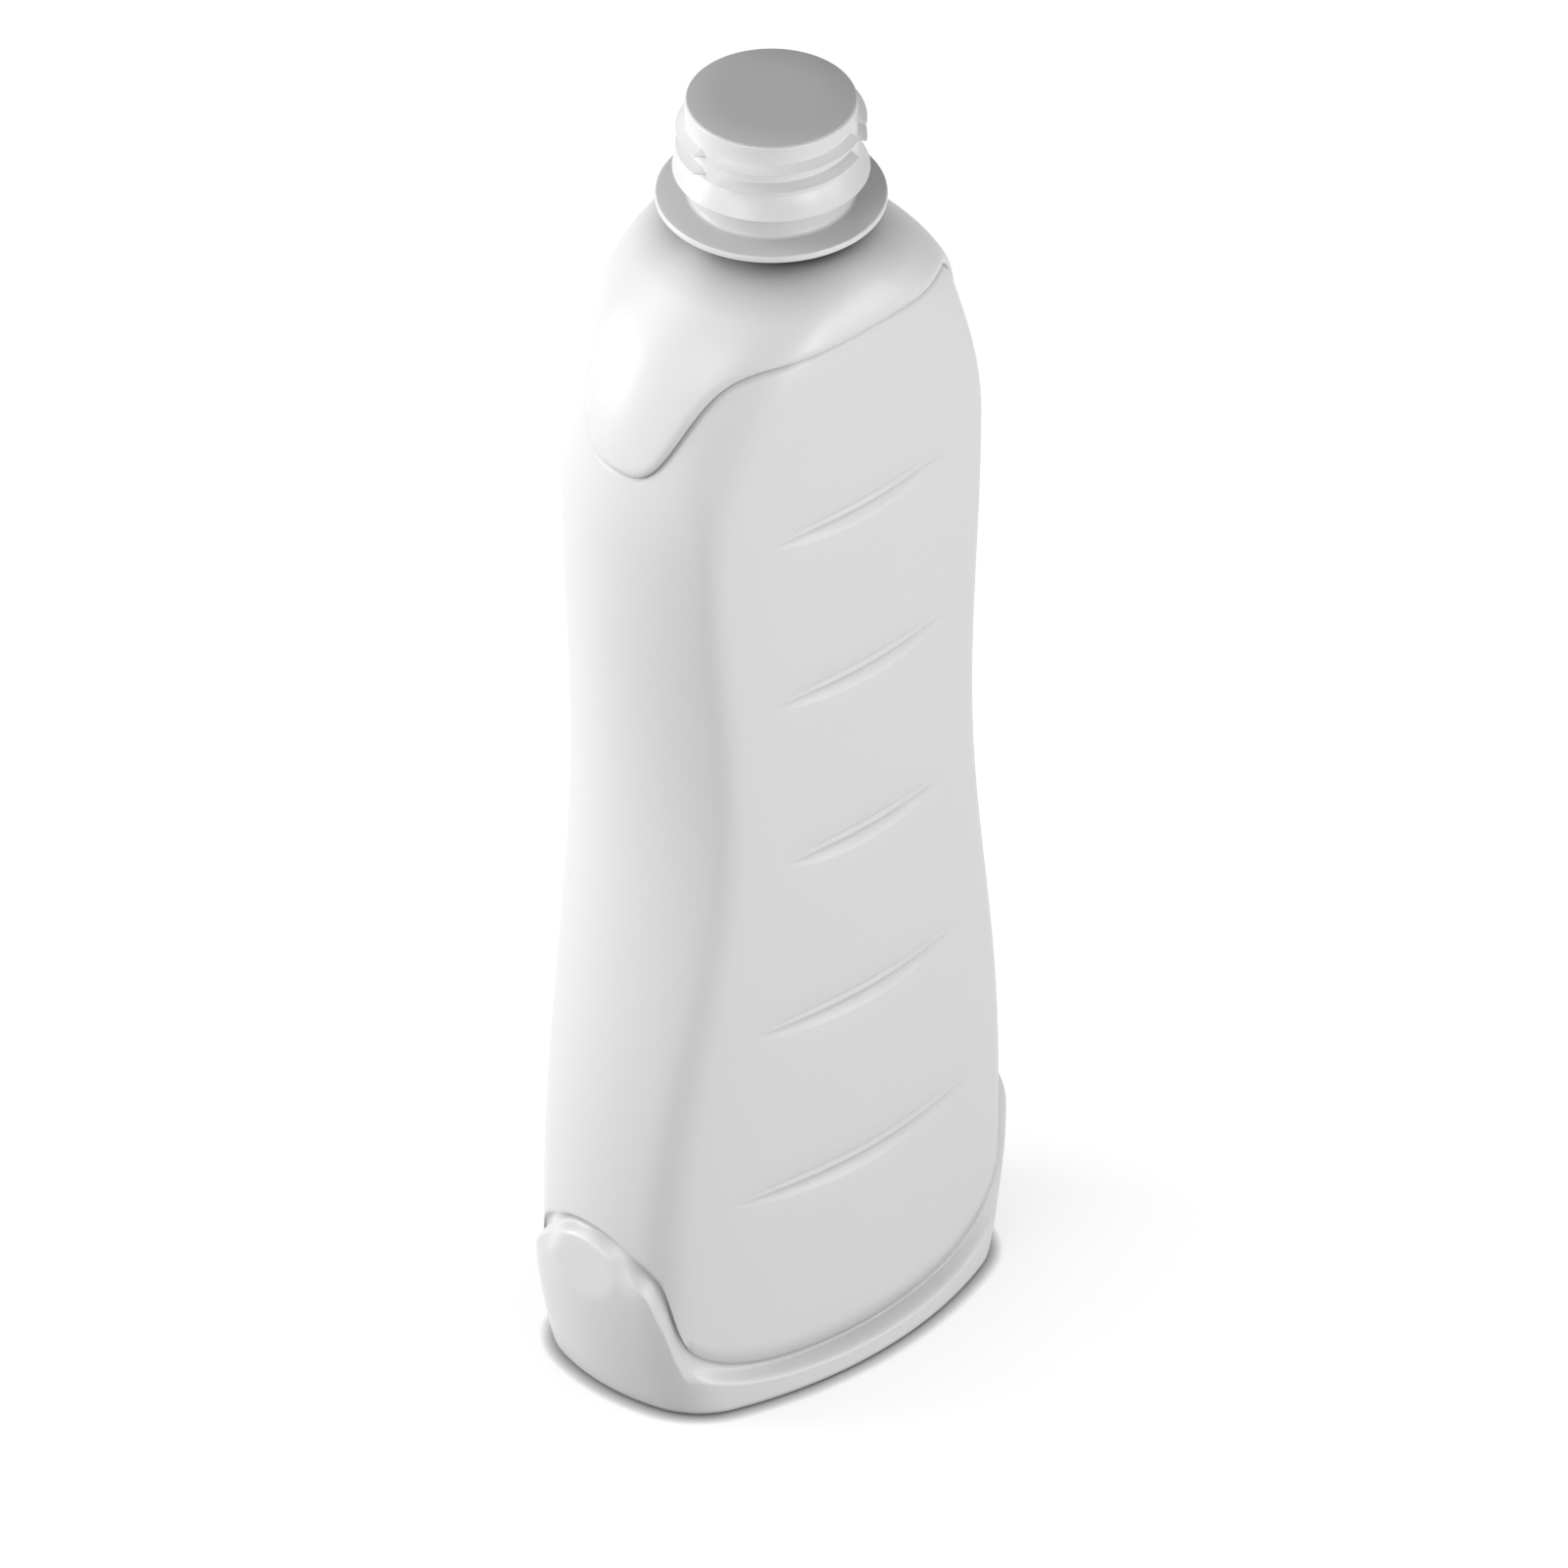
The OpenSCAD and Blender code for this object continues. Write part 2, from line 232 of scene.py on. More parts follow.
def add_node(tree, kind, settings=None, values=None, result=0):
    """Adds a node with its settings first, then its inputs, and returns one of its outputs."""
    node = tree.nodes.new(kind)
    for name, value in (settings or {}).items():
        setattr(node, name, value)
    feed(node, values or {})
    return Socket(tree, node.outputs[result])


def combine(tree, x=0.0, y=0.0, z=0.0):
    """Vector of three values."""
    return add_node(tree, "ShaderNodeCombineXYZ", None, {"X": x, "Y": y, "Z": z})


def component(tree, vector, k):
    """One value of a vector: 0 for X, 1 for Y, 2 for Z."""
    return add_node(tree, "ShaderNodeSeparateXYZ", None, {"Vector": vector}, result=k)


# Places of the Mix node's colour inputs and output, of the Texture Coordinate node's Object
# output and of the Ambient Occlusion node's plain value
MIX_SHARE, MIX_FIRST, MIX_SECOND, MIX_RESULT = 0, 6, 7, 2
OBJECT_PLACE = 3
OPEN_VALUE = 1


def mix_colours(tree, share, first, second):
    """Mixes two colours by a share, from the first at nothing to the second at one."""
    return add_node(tree, "ShaderNodeMix", {"data_type": "RGBA"},
                    {MIX_SHARE: share, MIX_FIRST: first, MIX_SECOND: second}, MIX_RESULT)


def noise(tree, place, scale, detail, roughness):
    """Noise in three dimensions, with so many waves to the metre."""
    return add_node(tree, "ShaderNodeTexNoise", {"noise_dimensions": "3D"},
                    {"Vector": place, "Scale": scale, "Detail": detail, "Roughness": roughness})


def openness(tree, reach, rays, only_local=False):
    """Share of the rays from a place that meet nothing within a reach."""
    return add_node(tree, "ShaderNodeAmbientOcclusion",
                    {"samples": rays, "only_local": only_local}, {"Distance": reach}, OPEN_VALUE)


def rgba(tone, share=1.0):
    """A share of a colour, as the four values that a node takes."""
    return tuple(share * part for part in tone) + (1.0,)


def new_material(name):
    """A material, its node tree and its shader."""
    material = bpy.data.materials.new(name)
    material.use_nodes = True
    return material, material.node_tree, material.node_tree.nodes["Principled BSDF"]


# Materials

# Each noise has a scale, a detail and a roughness
GRAIN = (900.0, 1.0, 0.4)
RIPPLE = (26.0, 2.0, 0.4)
ROLLED = (1.0, 2.0, 0.5)
# Scale that draws the foil's noise out into fine lines along X
ROLLED_STRETCH = (60.0, 2600.0, 60.0)
PLASTIC_BUMP = {"Strength": 0.05, "Distance": 0.0006}
FOIL_BUMP = {"Strength": 0.03, "Distance": 0.0002}
# Share of the colour that is left where the noise is nothing
PLASTIC_LOW, FOIL_LOW = 0.985, 0.97
PLASTIC_SPECULAR, FOIL_SPECULAR = 0.3, 0.2
# Roughness of the plastic, and what its ripple and its grain add. It stays above 0.274,
# because the denoiser's colour picture jumps there and would show the grain as specks.
PLASTIC_GLOSS, RIPPLE_GLOSS, GRAIN_GLOSS = 0.28, 0.03, 0.02
FOIL_GLOSS, ROLLED_GLOSS = 0.55, 0.06
# Share of its colour that the plastic loses to painted shade in a closed crease, on the body and
# on the neck, the height where one turns into the other, and the reach and rays of that shade
BODY_PAINTED_SHADE, NECK_PAINTED_SHADE = 1.08, 0.42
CREASE_TURN = 0.2634
PAINTED_SHADE_REACH, PAINTED_SHADE_RAYS = 0.012, 6
# Lowest height of the painted shade under the flange, the share of colour lost to it right under
# the flange, and the power by which the painted shade grows
RING_LOW, RING_PAINTED_SHADE, RING_POWER = 0.2510, 0.38, 1.3


def plastic_material(finish):
    """White blown plastic: satin, a little uneven, with shade painted into its colour in its
    creases and under the flange.
    """
    material, tree, shader = new_material(PLASTIC)
    place = add_node(tree, "ShaderNodeTexCoord", result=OBJECT_PLACE)
    grain = noise(tree, place, *GRAIN)
    ripple = noise(tree, place, *RIPPLE)
    tone = mix_colours(tree, ripple, rgba(finish.plastic, PLASTIC_LOW), rgba(finish.plastic))
    # Painted shade: ambient occlusion darkens the base colour towards black in creases, more on
    # the body than on the neck
    crease = openness(tree, PAINTED_SHADE_REACH, PAINTED_SHADE_RAYS, only_local=True)
    height = component(tree, place, 2)
    share = mix(BODY_PAINTED_SHADE, NECK_PAINTED_SHADE, height.above(CREASE_TURN))
    # Painted shade under the flange: a ring on the shoulder darkened by height, deepest right
    # under the flange
    under = ((height - RING_LOW) / (CREASE_TURN - RING_LOW)).most(0.0)
    painted_ring_shade = under ** RING_POWER * height.less(CREASE_TURN) * RING_PAINTED_SHADE
    feed(shader, {
        "Normal": add_node(tree, "ShaderNodeBump", None, {**PLASTIC_BUMP, "Height": ripple}),
        "Roughness": PLASTIC_GLOSS + ripple * RIPPLE_GLOSS + grain * GRAIN_GLOSS,
        "Base Color": mix_colours(tree, (1.0 - crease) * share + painted_ring_shade, tone, BLACK),
        "Specular IOR Level": PLASTIC_SPECULAR,
    })
    return material


def foil_material(finish):
    """Grey lacquered foil: matt, with a very fine rolled grain."""
    material, tree, shader = new_material(FOIL)
    place = add_node(tree, "ShaderNodeTexCoord", result=OBJECT_PLACE)
    drawn = add_node(tree, "ShaderNodeMapping", None,
                     {"Vector": place, "Scale": ROLLED_STRETCH})
    rolled = noise(tree, drawn, *ROLLED)
    feed(shader, {
        "Normal": add_node(tree, "ShaderNodeBump", None, {**FOIL_BUMP, "Height": rolled}),
        "Roughness": FOIL_GLOSS + rolled * ROLLED_GLOSS,
        "Base Color": mix_colours(tree, rolled, rgba(finish.foil, FOIL_LOW), rgba(finish.foil)),
        "Specular IOR Level": FOIL_SPECULAR,
    })
    return material


# The blown shape. Lengths are in metres, and angles on the relief lines in degrees from the
# middle of the nearer narrow side.

# Power by which the shoulder falls in, and by which the section turns round towards the neck
SHOULDER_FALL, ROLL_POWER = 0.75, 4
# Height over which the corners soften above the chest, and their largest share of the half
# width or half depth
CORNER_RISE, CORNER_SHARE = 0.028, 0.92
# How far the shoulder's top stays inside the lip
TOP_INSET = 0.0008
# Radii of the foot's arcs; the pairs hold the values on the ground and at the flats
FOOT_SIDE_RADIUS = 0.046
FOOT_PANEL_RADIUS = (0.096, 0.112)
FOOT_CORNER_RADIUS = (0.017, 0.0146)
# Power by which the foot swells from the ground up, and the height over the flats in which
# its crown draws in by the depth of a flat
FOOT_SWELL, FOOT_CROWN = 1.62, 0.00725
# Least cosine in the flats' radius
FLAT_GUARD = 0.01
# Angle where a lobe has half its height, and the power of its flank
CAPE_LOBE, CAPE_STEEP = 20.2, 3.8
FOOT_LOBE, FOOT_STEEP = 21.3, 20
# How far the foot's lobe falls at an angle from its crown
LOBE_FALL, LOBE_FALL_AT = 0.0086, 19
# Height of the foot's edge over its level at an angle, and the power by which it runs out
TAIL_HEIGHT, TAIL_AT, TAIL_POWER = 0.0103, 23.5, 3.2
# Largest slope factor of a relief line, and the angle over which its slope is taken
STEEP_LIMIT, SLOPE_STEP = 2.2, radians(1)
# Stretch of the foot's edge that is nearly flush: its width, angle, spread and largest share
FLUSH_WIDTH = 0.008
FLUSH_AT, FLUSH_REACH, FLUSH_MOST = 10.5, 3, 0.85
CAPE_VALLEY_WIDTH = 0.0014
# Half the least distance that a groove's edges keep at its ends
ROW_GAP = 0.00015
# Powers of a groove's upper and lower edges, and half its length, from the lowest groove up
GROOVE_SQUARE, GROOVE_ROUND = 5, 0.55
GROOVE_LENGTHS = (0.0329, 0.0281, 0.0215, 0.0240, 0.0244)
# Groove from its upper edge down: share of its height, and share of its depth. A fine notch
# and bead run along the upper edge.
GROOVE_SECTION = ((0, 0), (0.04, 0.08), (0.08, 0.22), (0.12, 0.33), (0.16, 0.35), (0.20, 0.28),
                  (0.24, 0.18), (0.28, 0.11), (0.32, 0.10), (0.37, 0.18), (0.43, 0.40),
                  (0.50, 0.72), (0.56, 0.93), (0.62, 1.0), (0.68, 0.97), (0.76, 0.76),
                  (0.85, 0.42), (0.93, 0.13), (1, 0))
# Underside: ground edge, flat rim, recess, width of the recess's slope, and how much of its
# radius a corner keeps towards the middle
GROUND_RADIUS, RIM_WIDTH = 0.0016, 0.0045
RECESS, RECESS_SLOPE = 0.003, 0.0025
BASE_CORNER_KEEP = 0.3


def ease(t):
    """Share that starts and ends level as t goes from nothing to one."""
    return (1 - np.cos(pi * np.clip(t, 0, 1))) / 2


def quarter(angle):
    """Angle from the middle of the nearer narrow side, in degrees."""
    return np.degrees(np.arctan2(np.abs(np.sin(angle)), np.abs(np.cos(angle))))


def ray(c, s, px, py, r):
    """Distance from the axis to the far wall of a circle, along a direction."""
    m = c * px + s * py
    return m + np.sqrt(np.maximum(m ** 2 - px ** 2 - py ** 2 + r ** 2, 0))


def oval(angle, half_w, half_d, r_side, r_panel, r_corner):
    """Polar radius of an oval of three tangent arcs in each quarter."""
    c, s = np.abs(np.cos(angle)), np.abs(np.sin(angle))
    # The side's and the panel's arcs have their centres behind the axis
    back_side, back_panel = r_side - half_w, r_panel - half_d
    # The corner's centre lies where its distances to both of them are right
    reach_side, reach_panel = r_side - r_corner, r_panel - r_corner
    gap = np.hypot(back_side, back_panel)
    along = (reach_side ** 2 - reach_panel ** 2 + gap ** 2) / (2 * gap)
    up = np.sqrt(np.maximum(reach_side ** 2 - along ** 2, 0))
    ux, uy = back_side / gap, -back_panel / gap
    cx = -back_side + along * ux - up * uy
    cy = along * uy + up * ux
    # Angles, seen from the axis, where one arc passes into the next
    turn_side = np.arctan2(cy, cx + back_side)
    turn_panel = np.arctan2(cy + back_panel, cx)
    from_side = np.arctan2(r_side * np.sin(turn_side), r_side * np.cos(turn_side) - back_side)
    from_panel = np.arctan2(r_panel * np.sin(turn_panel) - back_panel,
                            r_panel * np.cos(turn_panel))
    at = np.arctan2(s, c)
    return np.where(at < from_side, ray(c, s, -back_side, 0, r_side),
                    np.where(at > from_panel, ray(c, s, 0, -back_panel, r_panel),
                             ray(c, s, cx, cy, r_corner)))


class BlownShape:
    """The bottle's skin as polar radii, worked out from the settings."""

    def __init__(self, scene):
        self.body = scene.bottle_body
        self.relief = scene.bottle_relief
        self.neck = scene.bottle_neck
        self.top_radius = self.neck.lip_radius - TOP_INSET

    def half_width(self, z):
        """Half the body's width: drawn in at the waist, then over the shoulder to the neck."""
        body = self.body
        low = ease((z - body.hip_height) / (body.waist_height - body.hip_height))
        high = ease((z - body.waist_height) / (body.chest_height - body.waist_height))
        t = np.clip((z - body.chest_height) / (body.shoulder_height - body.chest_height), 0, 1)
        shoulder = mix(self.top_radius, body.chest_width / 2, (1 - t ** 2) ** SHOULDER_FALL)
        return np.where(z < body.waist_height, mix(body.hip_width, body.waist_width, low) / 2,
                        np.where(z < body.chest_height,
                                 mix(body.waist_width, body.chest_width, high) / 2, shoulder))

    def corner_radius(self, z):
        """Radius of the body's corners."""
        body = self.body
        low = ease((z - body.hip_height) / (body.waist_height - body.hip_height))
        high = ease((z - body.chest_height) / CORNER_RISE)
        return np.where(z < body.waist_height, mix(body.hip_corner, body.waist_corner, low),
                        mix(body.waist_corner, body.shoulder_corner, high))

    def body_radius(self, angle, z, grow):
        """Polar radius of the body, grown outwards by a given amount."""
        body = self.body
        a, b = self.half_width(z), body.depth / 2
        r = np.minimum(self.corner_radius(z), CORNER_SHARE * np.minimum(a, b))
        w = np.clip((z - body.roll_height) / (body.shoulder_height - body.roll_height), 0, 1)
        section = oval(angle, a + grow, b + grow, body.side_radius + grow,
                       body.panel_radius + grow, r + grow)
        return mix(section, self.top_radius + grow, w ** ROLL_POWER)

    def foot_radius(self, angle, z, shrink=0.0):
        """Polar radius of the foot with its side flats, shrunk by a given amount."""
        relief = self.relief
        low = np.clip((relief.flat_height - z) / relief.flat_height, 0, 1) ** FOOT_SWELL
        crown = relief.flat_cut * (np.maximum(z - relief.flat_height, 0) / FOOT_CROWN) ** 2
        a = mix(relief.foot_width, relief.foot_base_width, low) / 2 - crown - shrink
        free = oval(angle, a, relief.foot_depth / 2 - shrink, FOOT_SIDE_RADIUS - shrink,
                    mix(FOOT_PANEL_RADIUS[1], FOOT_PANEL_RADIUS[0], low) - shrink,
                    mix(FOOT_CORNER_RADIUS[1], FOOT_CORNER_RADIUS[0], low) - shrink)
        flat = relief.foot_width / 2 - relief.flat_cut
        return np.minimum(free, flat / np.maximum(np.abs(np.cos(angle)), FLAT_GUARD))

    def base_radius(self, angle, shrink):
        """Polar radius on the underside, where the corners stay round."""
        relief = self.relief
        return oval(angle, relief.foot_base_width / 2 - shrink, relief.foot_depth / 2 - shrink,
                    FOOT_SIDE_RADIUS - shrink, FOOT_PANEL_RADIUS[0] - shrink,
                    FOOT_CORNER_RADIUS[0] - BASE_CORNER_KEEP * shrink)

    def foot_skin(self, angle, z):
        """Radius of the foot under its edge: down into the valley, then out over the ledge."""
        relief = self.relief
        s = np.maximum(self.foot_line(angle) - z, 0) / self.stretch(angle, self.foot_line)
        body, foot = self.body_radius(angle, z, 0.0), self.foot_radius(angle, z)
        sunk = body - relief.valley_depth * np.sin(
            pi / 2 * np.minimum(s / relief.valley_width, 1))
        stepped = mix(sunk, foot, ease((s - relief.valley_width) / relief.ledge_width))
        share = FLUSH_MOST * np.exp(-((quarter(angle) - FLUSH_AT) / FLUSH_REACH) ** 2)
        return mix(stepped, mix(body, foot, ease(s / FLUSH_WIDTH)), share)

    def cape_line(self, angle):
        """Height of the cape's edge, which hangs down in a lobe on each narrow side."""
        relief = self.relief
        return relief.cape_level - relief.cape_drop / (
            1 + (quarter(angle) / CAPE_LOBE) ** CAPE_STEEP)

    def foot_line(self, angle):
        """Height of the foot's edge, which stands up in a lobe on each narrow side."""
        relief = self.relief
        q = quarter(angle)
        crown = relief.foot_lobe - LOBE_FALL * (q / LOBE_FALL_AT) ** 2
        tail = relief.foot_level + TAIL_HEIGHT * (
            TAIL_AT / np.maximum(q, TAIL_AT / 2)) ** TAIL_POWER
        share = 1 / (1 + (q / FOOT_LOBE) ** FOOT_STEEP)
        return mix(np.minimum(tail, relief.foot_lobe), crown, share)

    def stretch(self, angle, line):
        """Factor that turns a distance square to a line into a height above it."""
        travel = 2 * SLOPE_STEP * self.body_radius(angle, self.body.chest_height, 0.0)
        slope = (line(angle + SLOPE_STEP) - line(angle - SLOPE_STEP)) / travel
        return np.minimum(np.sqrt(1 + slope ** 2), STEEP_LIMIT)

    def groove_height(self, i):
        """Height of a groove's two ends."""
        relief = self.relief
        return relief.groove_level - (len(GROOVE_LENGTHS) - 1 - i) * relief.groove_pitch

    def groove_place(self, angle, i):
        """Place along a groove: nothing at its middle, one at its ends."""
        x = self.body_radius(angle, self.groove_height(i), 0.0) * np.cos(angle)
        return np.minimum(np.abs(x / GROOVE_LENGTHS[i]), 1)

    def groove_edges(self, angle, i):
        """Heights of a groove's upper and lower edges, and its share of the full depth."""
        place = self.groove_place(angle, i)
        share = 1 - place ** 2
        level, relief = self.groove_height(i), self.relief
        high = level + 2 * ROW_GAP + relief.groove_rise * (1 - place ** GROOVE_SQUARE)
        low = level - 2 * ROW_GAP - relief.groove_fall * share ** GROOVE_ROUND
        return high, low, share


# Rows of the skin

COLUMNS = 360
RECESS_ROWS, GROUND_EDGE_ROWS = 8, 6
RIM_STEPS = (0.3, 0.7, 1)
FOOT_ROWS, LEDGE_ROWS = 31, 22
# Plain rows under each groove, from the lowest groove up, and under the cape
GROOVE_GAP_ROWS, CAPE_GAP_ROWS = (9, 6, 6, 6, 6), 8
CAPE_VALLEY_STEPS = (1, 0.75, 0.5, 0.25)
# Rows over the cape's edge and over the shoulder, with the powers that bunch them
CAPE_EDGE_ROWS, CAPE_EDGE_POWER = 10, 1.7
SHOULDER_ROWS, SHOULDER_POWER = 22, 0.85


def column_angles():
    """Angle of every column of a skin."""
    return np.arange(COLUMNS) * (2 * pi / COLUMNS)


def level_rows(profile):
    """Round, level rows from points of radius and height."""
    return [(np.full(COLUMNS, radius), np.full(COLUMNS, z)) for radius, z in profile]


def base_rows(shape, angle):
    """Recess, flat rim and rounded ground edge."""
    rim = GROUND_RADIUS + RIM_WIDTH
    rows = [(shape.base_radius(angle, rim + RECESS_SLOPE * (1 - t)),
             np.full(COLUMNS, RECESS * (1 + cos(pi * t)) / 2))
            for t in np.linspace(0, 1, RECESS_ROWS)]
    rows += [(shape.base_radius(angle, mix(rim, GROUND_RADIUS, t)), np.zeros(COLUMNS))
             for t in RIM_STEPS]
    for t in np.linspace(0, pi / 2, GROUND_EDGE_ROWS)[1:]:
        z = np.full(COLUMNS, GROUND_RADIUS * (1 - cos(t)))
        rows.append((shape.foot_radius(angle, z, GROUND_RADIUS * (1 - sin(t))), z))
    return rows


def foot_rows(shape, angle):
    """Foot up to its ledge, then ledge and valley up to the foot's edge."""
    line = shape.foot_line(angle)
    stretch = shape.stretch(angle, shape.foot_line)
    ledge = shape.relief.valley_width + shape.relief.ledge_width
    heights = [mix(GROUND_RADIUS, line - ledge * stretch, t)
               for t in np.linspace(0, 1, FOOT_ROWS)[1:]]
    heights += [line - t * ledge * stretch for t in np.linspace(1, 0, LEDGE_ROWS)[1:]]
    return [(shape.foot_skin(angle, z), z) for z in heights]


def plain_rows(shape, angle, low, high, count):
    """Rows of smooth body between two heights."""
    heights = [mix(low, high, t) for t in np.linspace(0, 1, count + 2)[1:-1]]
    return [(shape.body_radius(angle, z, 0.0), z) for z in heights]


def groove_rows(shape, angle, high, low, share):
    """Rows of one grip groove, from its lower edge up."""
    rows = []
    for down, depth in reversed(GROOVE_SECTION):
        z = mix(high, low, down)
        sunk = -depth * shape.relief.groove_depth * share
        rows.append((shape.body_radius(angle, z, sunk), z))
    return rows


def cape_rows(shape, angle, line, stretch):
    """Valley under the cape, its rounded edge, and the shoulder up to the neck."""
    relief = shape.relief
    rows = []
    for t in CAPE_VALLEY_STEPS:
        z = line - t * CAPE_VALLEY_WIDTH * stretch
        dip = relief.cape_valley * (1 + cos(pi * t)) / 2
        rows.append((shape.body_radius(angle, z, -dip), z))
    for t in np.linspace(0, 1, CAPE_EDGE_ROWS) ** CAPE_EDGE_POWER:
        z = line + t * relief.cape_edge * stretch
        proud = mix(-relief.cape_valley, relief.cape_height, sqrt(1 - (1 - t) ** 2))
        rows.append((shape.body_radius(angle, z, proud), z))
    above = line + relief.cape_edge * stretch
    for t in np.linspace(0, 1, SHOULDER_ROWS)[1:] ** SHOULDER_POWER:
        z = mix(above, shape.body.shoulder_height, t)
        rows.append((shape.body_radius(angle, z, relief.cape_height), z))
    return rows


def skin_rows(shape):
    """Radius and height of every row of the skin, from the base's middle to the lip."""
    angle = column_angles()
    rows = base_rows(shape, angle) + foot_rows(shape, angle)
    below = shape.foot_line(angle)
    for i, count in enumerate(GROOVE_GAP_ROWS):
        high, low, share = shape.groove_edges(angle, i)
        rows += plain_rows(shape, angle, below, low, count)
        rows += groove_rows(shape, angle, high, low, share)
        below = high
    line = shape.cape_line(angle)
    stretch = shape.stretch(angle, shape.cape_line)
    valley = line - CAPE_VALLEY_WIDTH * stretch
    rows += plain_rows(shape, angle, below, valley, CAPE_GAP_ROWS)
    rows += cape_rows(shape, angle, line, stretch)
    return angle, rows + level_rows(neck_profile(shape))


# The neck's profile, from the shoulder up. Lengths are in metres; steps are shares of a height.
COLLAR_INSET = 0.0002
FLANGE_LIFT, FLANGE_THICKNESS, FLANGE_ROUNDING = 0.0007, 0.0015, 0.0004
THROAT_FILLET, THROAT_FILLET_STEPS = 0.001, 6
# Heights of two rows that hold the throat straight, measured down from the bead
THROAT_ROWS = (0.0008, 0.0004)
BEAD_LIFT, BEAD_RISE, BEAD_ROUNDING = 0.008, 0.0045, 0.0003
# Where the bead's slope starts: inwards from the bead's radius, and upwards from its underside
BEAD_SLOPE_INSET, BEAD_SLOPE_LIFT = 0.0002, 0.0006
BEAD_SLOPE_STEPS, CYLINDER_STEPS = (0.5, 0.95), (0.35, 0.7, 0.95)
LIP_ROUNDING, LIP_WIDTH = 0.00035, 0.001


def arc(centre, r, start, end, steps=4):
    """Points of radius and height on an arc, between two angles in degrees."""
    return [(centre[0] + r * cos(t), centre[1] + r * sin(t))
            for t in np.linspace(radians(start), radians(end), steps + 1)]


def neck_profile(shape):
    """Collar, flange, waisted neck, bead and lip, as radius and height."""
    neck, base, top = shape.neck, shape.body.shoulder_height, BOTTLE_HIGH[2]
    collar = shape.top_radius + shape.relief.cape_height - COLLAR_INSET
    flange_low = base + FLANGE_LIFT
    flange_high = flange_low + FLANGE_THICKNESS
    flange = neck.flange_radius - FLANGE_ROUNDING
    bead_low = base + BEAD_LIFT
    bead_high = bead_low + BEAD_RISE
    slope = (neck.bead_radius - BEAD_SLOPE_INSET, bead_low + BEAD_SLOPE_LIFT)
    points = [(collar, base), (collar, flange_low - COLLAR_INSET),
              (collar + COLLAR_INSET, flange_low)]
    points += arc((flange, flange_low + FLANGE_ROUNDING), FLANGE_ROUNDING, -90, 0)
    points += arc((flange, flange_high - FLANGE_ROUNDING), FLANGE_ROUNDING, 0, 90)
    points += arc((neck.throat_radius + THROAT_FILLET, flange_high + THROAT_FILLET),
                  THROAT_FILLET, 270, 180, THROAT_FILLET_STEPS)
    points += [(neck.throat_radius, bead_low - down) for down in THROAT_ROWS]
    points += [(neck.bead_radius - BEAD_ROUNDING, bead_low),
               (neck.bead_radius, bead_low + BEAD_ROUNDING), slope]
    points += [(mix(slope[0], neck.lip_radius, t), mix(slope[1], bead_high, t))
               for t in BEAD_SLOPE_STEPS]
    points.append((neck.lip_radius, bead_high + BEAD_ROUNDING))
    points += [(neck.lip_radius, mix(bead_high, top, t)) for t in CYLINDER_STEPS]
    points += arc((neck.lip_radius - LIP_ROUNDING, top - LIP_ROUNDING), LIP_ROUNDING, 0, 90)
    points.append((neck.lip_radius - LIP_WIDTH, top))
    return points


# Meshes

# Edges that turn by more than this stay sharp
SKIN_SHARP, THREAD_SHARP = radians(50), radians(30)
# Weld ridge: length, width and height, places along it, places round it, power by which it
# fades towards its ends, and the least that is left there
WELD_SIZE = (0.058, 0.0009, 0.0005)
WELD_STATIONS, WELD_POINTS, WELD_FADE, WELD_LEAST = 41, 9, 6, 0.03
# Seal's rounded edge as a share of its thickness, the edge's middle as a share of that, and
# the radius of its inner row as a share of its own
SEAL_SOFT, SEAL_CORNER, SEAL_INNER = 0.3, 0.3, 0.6


def skin_mesh(name, angle, rows):
    """One closed mesh of all rows, with a fan at the base and another inside the lip."""
    points = [(0.0, 0.0, float(rows[0][1][0]))]
    for radius, z in rows:
        points += zip((radius * np.cos(angle)).tolist(), (radius * np.sin(angle)).tolist(),
                      z.tolist())
    points.append((0.0, 0.0, float(rows[-1][1][0])))
    top, last = len(rows) - 1, len(points) - 1

    def at(row, k):
        return 1 + row * COLUMNS + k % COLUMNS

    faces = [(0, at(0, k + 1), at(0, k)) for k in range(COLUMNS)]
    faces += [(at(row, k), at(row, k + 1), at(row + 1, k + 1), at(row + 1, k))
              for row in range(top) for k in range(COLUMNS)]
    faces += [(last, at(top, k), at(top, k + 1)) for k in range(COLUMNS)]
    mesh = bpy.data.meshes.new(name)
    mesh.from_pydata(points, [], faces)
    mesh.validate()
    mesh.shade_smooth()
    mesh.set_sharp_from_angle(angle=SKIN_SHARP)
    return mesh


def add_weld(mesh):
    """Adds the low ridge where the mould pinched the plastic shut, across the recess."""
    half_length, half_width, height = WELD_SIZE[0] / 2, WELD_SIZE[1] / 2, WELD_SIZE[2]
    work = bmesh.new()
    work.from_mesh(mesh)
    rings = []
    for t in np.linspace(-1, 1, WELD_STATIONS):
        fade = sqrt(max(1 - abs(t) ** WELD_FADE, WELD_LEAST))
        # Half round under the recess, then two corners inside the plastic
        section = [(half_width * fade * cos(turn), RECESS - height * fade * sin(turn))
                   for turn in np.linspace(0, pi, WELD_POINTS)]
        section += [(side * half_width * fade, RECESS + height) for side in (-1, 1)]
        rings.append([work.verts.new((t * half_length, y, z)) for y, z in section])
    for one, two in zip(rings, rings[1:]):
        for k in range(len(one)):
            after = (k + 1) % len(one)
            work.faces.new((one[k], two[k], two[after], one[after]))
    work.faces.new(rings[0])
    work.faces.new(list(reversed(rings[-1])))
    work.to_mesh(mesh)
    work.free()


def link(name, mesh):
    """A new object of a mesh, linked to the scene."""
    piece = bpy.data.objects.new(name, mesh)
    bpy.context.scene.collection.objects.link(piece)
    return piece


# The screw thread

